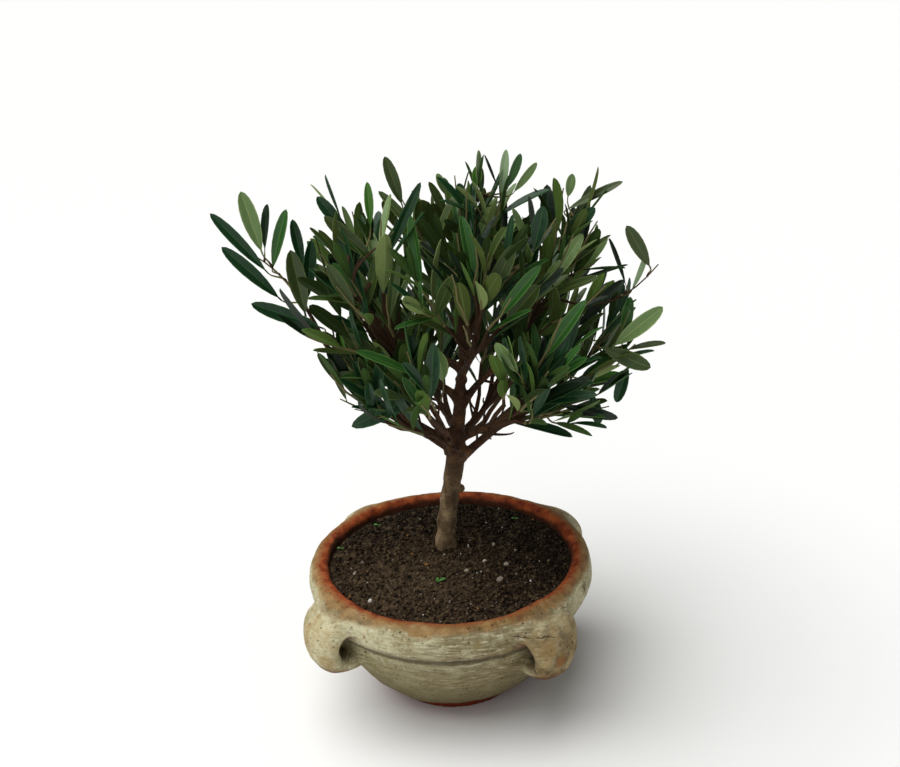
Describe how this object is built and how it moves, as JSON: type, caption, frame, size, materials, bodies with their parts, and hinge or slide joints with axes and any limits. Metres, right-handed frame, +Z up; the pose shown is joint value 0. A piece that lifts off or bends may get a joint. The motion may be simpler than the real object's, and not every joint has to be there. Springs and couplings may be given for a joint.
{
  "type": "potted olive bonsai",
  "caption": "Small olive tree trained as a bonsai, with a leaning trunk, fanned boughs and masses of narrow leaves, in a round limewashed terracotta bowl with drooping lugs.",
  "frame": {"origin": "centre of the bowl's flat underside, on the surface that it stands on", "axes": "+Z up along the bowl's axis; +X and +Y each run out through a lug; the view of the picture looks from azimuth 53 degrees"},
  "size_m": [0.3077, 0.3251, 0.4506],
  "materials": {
    "limewash": "weathered limewash over unglazed terracotta",
    "soil": "damp crumbly potting soil",
    "bark": "smooth grey-brown young bark",
    "leaf": "leathery olive leaves, dark above and grey-green below"
  },
  "bodies": {
    "root": {"bowl": "limewash", "lug_1": "limewash", "lug_2": "limewash", "lug_3": "limewash", "lug_4": "limewash", "soil": "soil", "trunk": "bark", "leader": "bark", "bough_1": "bark", "bough_2": "bark", "bough_3": "bark", "bough_4": "bark", "bough_5": "bark", "bough_6": "bark", "bough_7": "bark", "limb_upper_1": "bark", "limb_upper_2": "bark", "limb_upper_3": "bark", "limb_upper_4": "bark", "limb_upper_5": "bark", "limb_spray": "bark", "foliage_top": "leaf", "foliage_lower_1": "leaf", "foliage_lower_2": "leaf", "foliage_lower_3": "leaf", "foliage_lower_4": "leaf", "foliage_lower_5": "leaf", "foliage_lower_6": "leaf", "foliage_lower_7": "leaf", "foliage_upper_1": "leaf", "foliage_upper_2": "leaf", "foliage_upper_3": "leaf", "foliage_upper_4": "leaf", "foliage_upper_5": "leaf", "foliage_spray": "leaf"}
  },
  "joints": []
}
